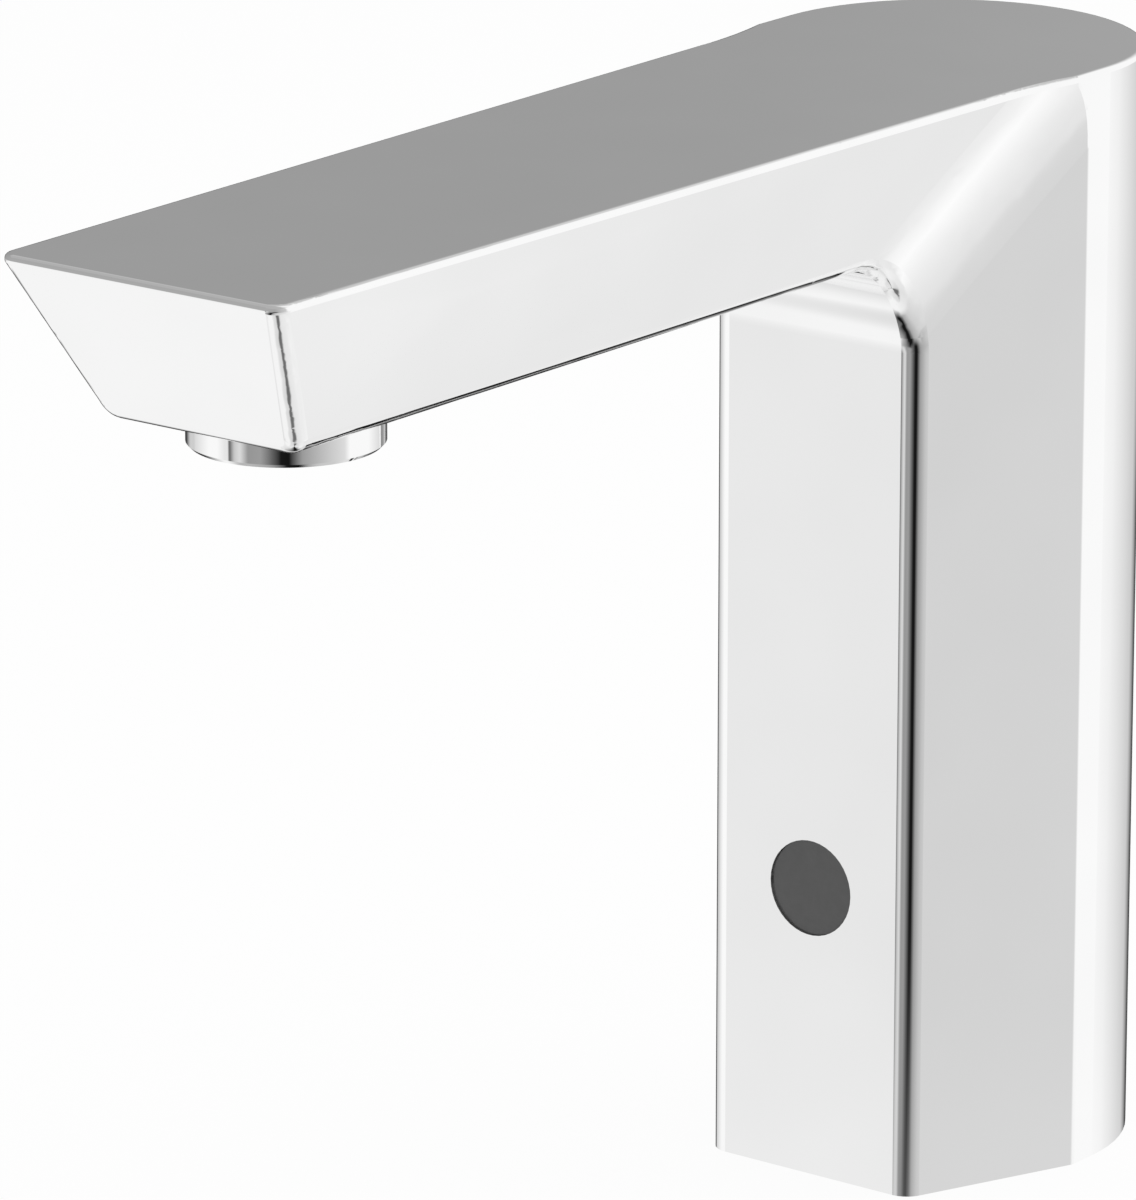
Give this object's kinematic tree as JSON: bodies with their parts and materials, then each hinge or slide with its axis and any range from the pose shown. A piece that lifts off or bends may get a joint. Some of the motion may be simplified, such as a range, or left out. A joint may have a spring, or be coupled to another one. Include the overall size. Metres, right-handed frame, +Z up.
{
  "type": "sensor tap",
  "caption": "Deck-mounted infra-red sensor tap: a broad flat-topped chrome column and spout with an aerator, holding a battery-powered solenoid valve.",
  "frame": {"origin": "on the deck plane under the tap, on the axis of the column's round back", "axes": "+Z up; the spout points along -Y; +X is to the right seen from the front"},
  "size_m": [0.0556, 0.2029, 0.16],
  "materials": {
    "chrome_plate": "polished chrome plate on cast brass",
    "machined_brass": "turned and milled brass, unplated",
    "stainless_steel": "turned stainless steel",
    "spring_wire": "drawn stainless spring wire",
    "zinc_steel": "bent zinc-plated steel strip",
    "steel_mesh": "etched stainless screen",
    "nickel_strip": "nickel-plated spring strip",
    "black_rubber": "matt moulded EPDM",
    "diaphragm_rubber": "fabric-backed silicone rubber",
    "valve_plastic": "glass-filled polyamide, moulded",
    "white_acetal": "white acetal, moulded",
    "tube_plastic": "cross-linked polyethylene tube",
    "bobbin_plastic": "moulded polyester",
    "copper_winding": "enamelled copper wire, layer wound",
    "frame_plastic": "moulded grey plastic",
    "sensor_window": "dark infra-red filter plastic, polished",
    "sensor_plastic": "black moulded plastic",
    "circuit_board": "green lacquered glass-epoxy board",
    "emitter_epoxy": "clear blue-tinted epoxy",
    "receiver_epoxy": "black infra-red epoxy",
    "chip_plastic": "moulded epoxy package",
    "capacitor_can": "sleeved aluminium can",
    "plug_plastic": "ivory moulded connector",
    "battery_sleeve": "shrunk plastic sleeve",
    "lead_sheath": "soft black cable sheath"
  },
  "bodies": {
    "tap": {"aerator_collar": "chrome_plate", "aerator_insert": "white_acetal", "aerator_screen": "steel_mesh", "aerator_washer": "black_rubber", "armature_tube": "stainless_steel", "base_plate": "machined_brass", "base_screws": "stainless_steel", "base_seal": "black_rubber", "battery": "battery_sleeve", "battery_case": "frame_plastic", "battery_contacts": "nickel_strip", "battery_lead": "lead_sheath", "battery_lid": "frame_plastic", "board_capacitor": "capacitor_can", "board_chip": "chip_plastic", "board_plugs": "plug_plastic", "board_screws": "stainless_steel", "body_shell": "chrome_plate", "bonnet_screws": "stainless_steel", "check_valve_sleeve": "white_acetal", "check_valve_spring": "spring_wire", "coil_bobbin": "bobbin_plastic", "coil_lead": "lead_sheath", "coil_nut": "stainless_steel", "coil_winding": "copper_winding", "coil_yoke": "zinc_steel", "control_board": "circuit_board", "diaphragm": "diaphragm_rubber", "electronics_frame": "frame_plastic", "fixed_core": "stainless_steel", "flow_disc": "white_acetal", "frame_screws": "stainless_steel", "inlet_gasket": "black_rubber", "inlet_strainer": "steel_mesh", "ir_emitter": "emitter_epoxy", "ir_receiver": "receiver_epoxy", "outlet_spigot": "machined_brass", "plunger_spring": "spring_wire", "sensor_board": "circuit_board", "sensor_housing": "sensor_plastic", "sensor_lead": "lead_sheath", "sensor_screws": "stainless_steel", "sensor_seal": "black_rubber", "sensor_window": "sensor_window", "tube_seals": "black_rubber", "valve_block": "valve_plastic", "valve_block_screws": "stainless_steel", "valve_bonnet": "valve_plastic", "water_tube": "tube_plastic"},
    "plunger": {"plunger": "stainless_steel", "plunger_nose": "diaphragm_rubber"},
    "diaphragm_core": {"diaphragm_disc": "white_acetal", "diaphragm_pad": "diaphragm_rubber"},
    "check_poppet": {"check_valve_poppet": "white_acetal"}
  },
  "joints": [
    {"name": "plunger_lift", "type": "slide", "parent": "tap", "child": "plunger", "axis": [0, 0, 1], "range_m": [0, 0.0025], "stiffness_N_per_m": 200, "springref_m": -0.005, "deforming": ["plunger_spring"]},
    {"name": "disc_lift", "type": "slide", "parent": "tap", "child": "diaphragm_core", "axis": [0, 0, 1], "range_m": [0, 0.0015]},
    {"name": "poppet_lift", "type": "slide", "parent": "tap", "child": "check_poppet", "axis": [0, 0, 1], "range_m": [0, 0.002], "stiffness_N_per_m": 100, "springref_m": -0.004, "deforming": ["check_valve_spring"]}
  ],
  "couplings": [
    {"joint": "disc_lift", "follows": "plunger_lift", "ratio": 0.6}
  ]
}
